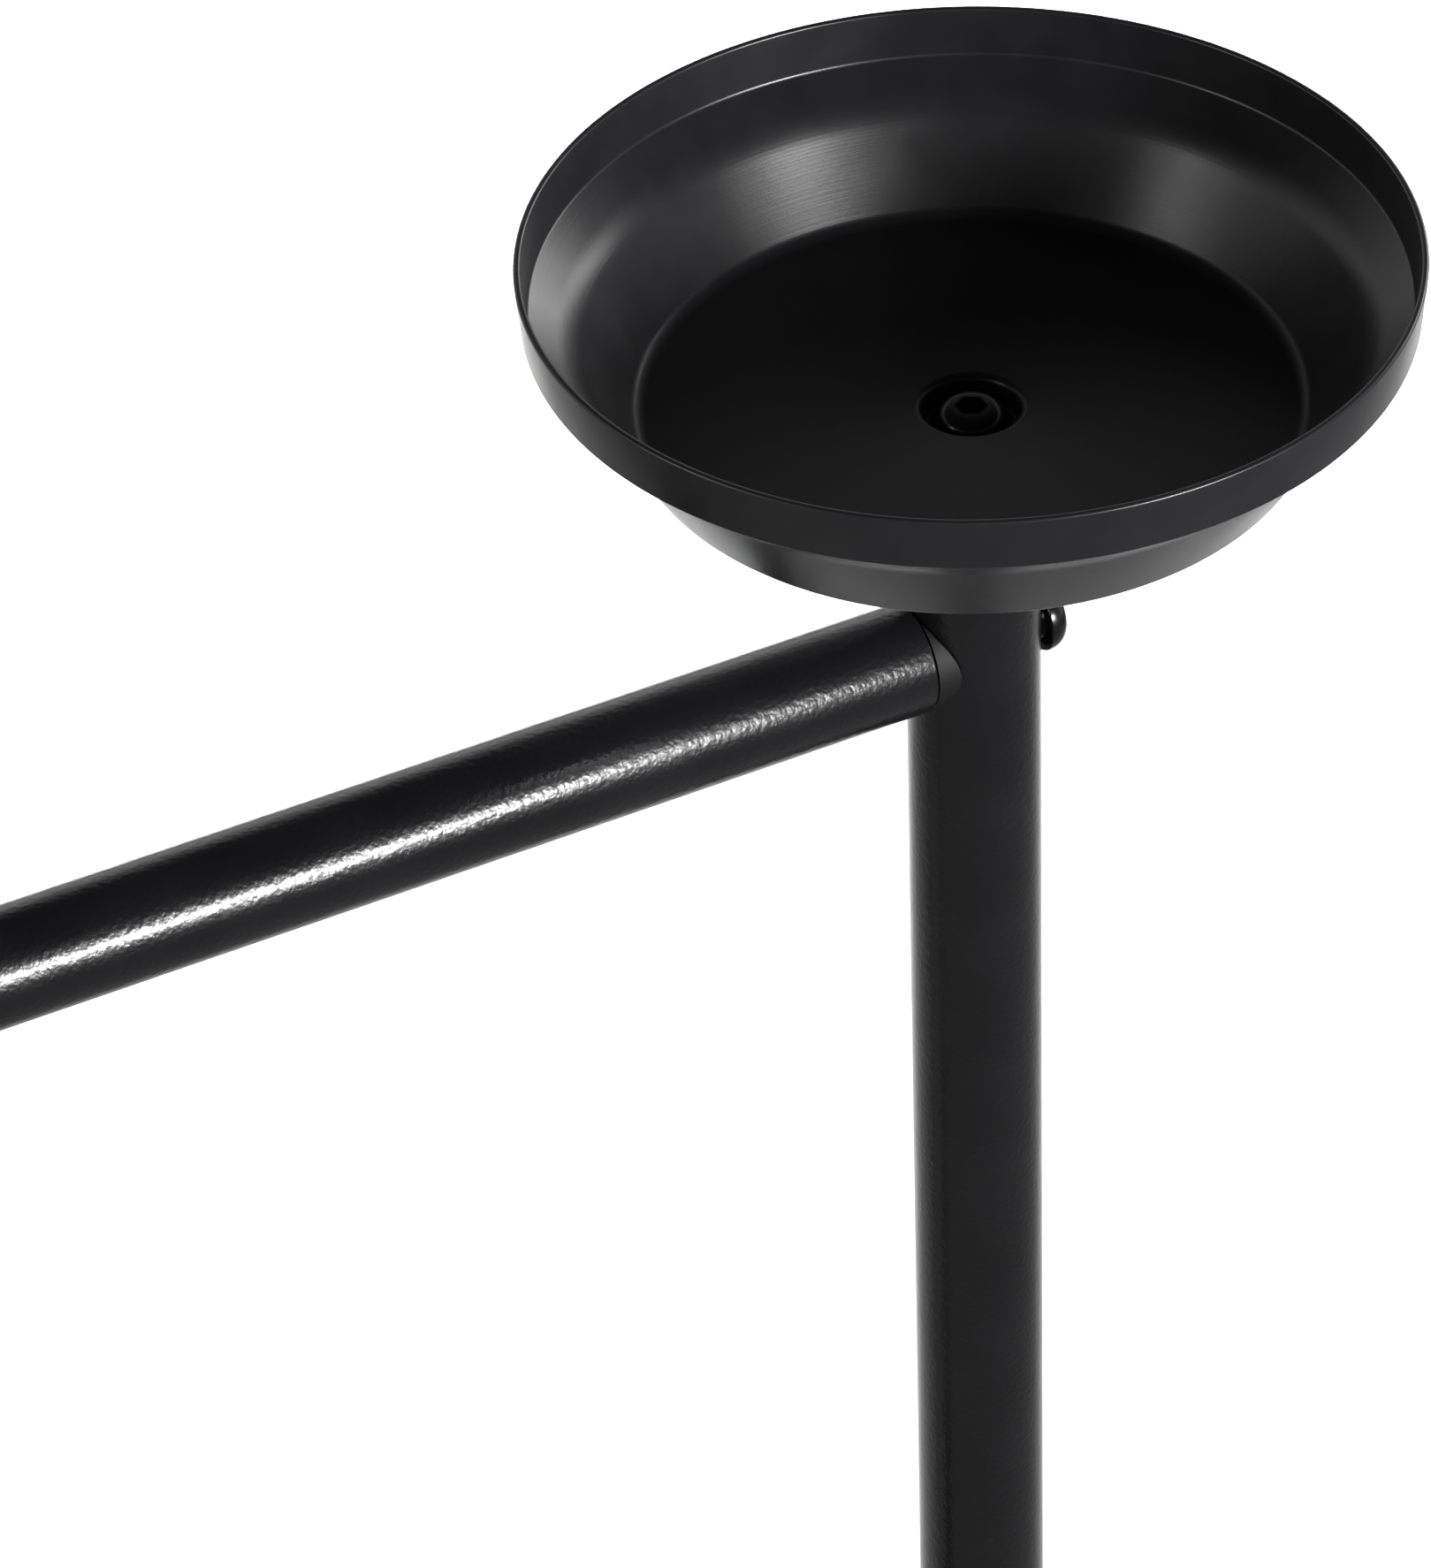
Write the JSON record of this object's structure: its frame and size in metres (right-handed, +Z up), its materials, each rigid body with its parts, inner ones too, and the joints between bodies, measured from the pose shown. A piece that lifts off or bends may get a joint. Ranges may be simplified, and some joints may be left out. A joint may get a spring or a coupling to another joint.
{
  "type": "valet stand",
  "caption": "Free-standing tubular steel valet stand with a jacket hanger, trouser and towel rails, a shoe rest and a round tray for small things on one post.",
  "frame": {"origin": "on the floor, under the middle of the whole outline", "axes": "+X along the rails towards the tray post, +Y to the back, where the jacket hangs, +Z up"},
  "size_m": [0.5146, 0.3036, 1.1081],
  "materials": {
    "tube_coat": "semi-matte black powder coat with a fine orange peel",
    "tray_coat": "matte black powder coat on spun steel sheet",
    "black_bolt": "glossy black coated steel",
    "plug_plastic": "moulded black nylon, matte",
    "cap_plastic": "moulded black polyethylene, fine texture",
    "leveller_plastic": "moulded black nylon pad on a zinc-plated screw",
    "zinc_insert": "bright zinc plate"
  },
  "bodies": {
    "frame": {"front_base_rail": "tube_coat", "front_base_rail_left_bolt": "black_bolt", "front_base_rail_left_plug": "plug_plastic", "front_base_rail_right_bolt": "black_bolt", "front_base_rail_right_plug": "plug_plastic", "hanger": "tube_coat", "hanger_seat_bolt": "black_bolt", "hanger_seat_plug": "plug_plastic", "left_back_insert": "zinc_insert", "left_foot": "tube_coat", "left_foot_back_cap": "cap_plastic", "left_foot_front_cap": "cap_plastic", "left_front_insert": "zinc_insert", "left_hanger_cap": "cap_plastic", "left_post": "tube_coat", "left_post_cap": "cap_plastic", "left_post_foot_bolt": "black_bolt", "left_post_foot_plug": "plug_plastic", "mast": "tube_coat", "mast_base_bolt": "black_bolt", "mast_base_plug": "plug_plastic", "mast_spacer": "tube_coat", "rear_base_rail": "tube_coat", "rear_base_rail_left_bolt": "black_bolt", "rear_base_rail_left_plug": "plug_plastic", "rear_base_rail_right_bolt": "black_bolt", "rear_base_rail_right_plug": "plug_plastic", "right_back_insert": "zinc_insert", "right_foot": "tube_coat", "right_foot_back_cap": "cap_plastic", "right_foot_front_cap": "cap_plastic", "right_front_insert": "zinc_insert", "right_hanger_cap": "cap_plastic", "right_post": "tube_coat", "right_post_foot_bolt": "black_bolt", "right_post_foot_plug": "plug_plastic", "spacer_bolt": "black_bolt", "spacer_mast_plug": "plug_plastic", "spacer_nut": "black_bolt", "spacer_rail_plug": "plug_plastic", "top_rail": "tube_coat", "top_rail_left_bolt": "black_bolt", "top_rail_left_plug": "plug_plastic", "top_rail_right_bolt": "black_bolt", "top_rail_right_plug": "plug_plastic", "tray": "tray_coat", "tray_plug": "plug_plastic", "tray_screw": "black_bolt", "trouser_rail": "tube_coat", "trouser_rail_left_bolt": "black_bolt", "trouser_rail_left_plug": "plug_plastic", "trouser_rail_right_bolt": "black_bolt", "trouser_rail_right_plug": "plug_plastic"},
    "left_front_foot_screw": {"left_front_leveller": "leveller_plastic"},
    "left_back_foot_screw": {"left_back_leveller": "leveller_plastic"},
    "right_front_foot_screw": {"right_front_leveller": "leveller_plastic"},
    "right_back_foot_screw": {"right_back_leveller": "leveller_plastic"}
  },
  "joints": [
    {"name": "left_front_level", "type": "slide", "parent": "frame", "child": "left_front_foot_screw", "axis": [0, 0, -1], "range_m": [0, 0.008]},
    {"name": "left_back_level", "type": "slide", "parent": "frame", "child": "left_back_foot_screw", "axis": [0, 0, -1], "range_m": [0, 0.008]},
    {"name": "right_front_level", "type": "slide", "parent": "frame", "child": "right_front_foot_screw", "axis": [0, 0, -1], "range_m": [0, 0.008]},
    {"name": "right_back_level", "type": "slide", "parent": "frame", "child": "right_back_foot_screw", "axis": [0, 0, -1], "range_m": [0, 0.008]}
  ]
}
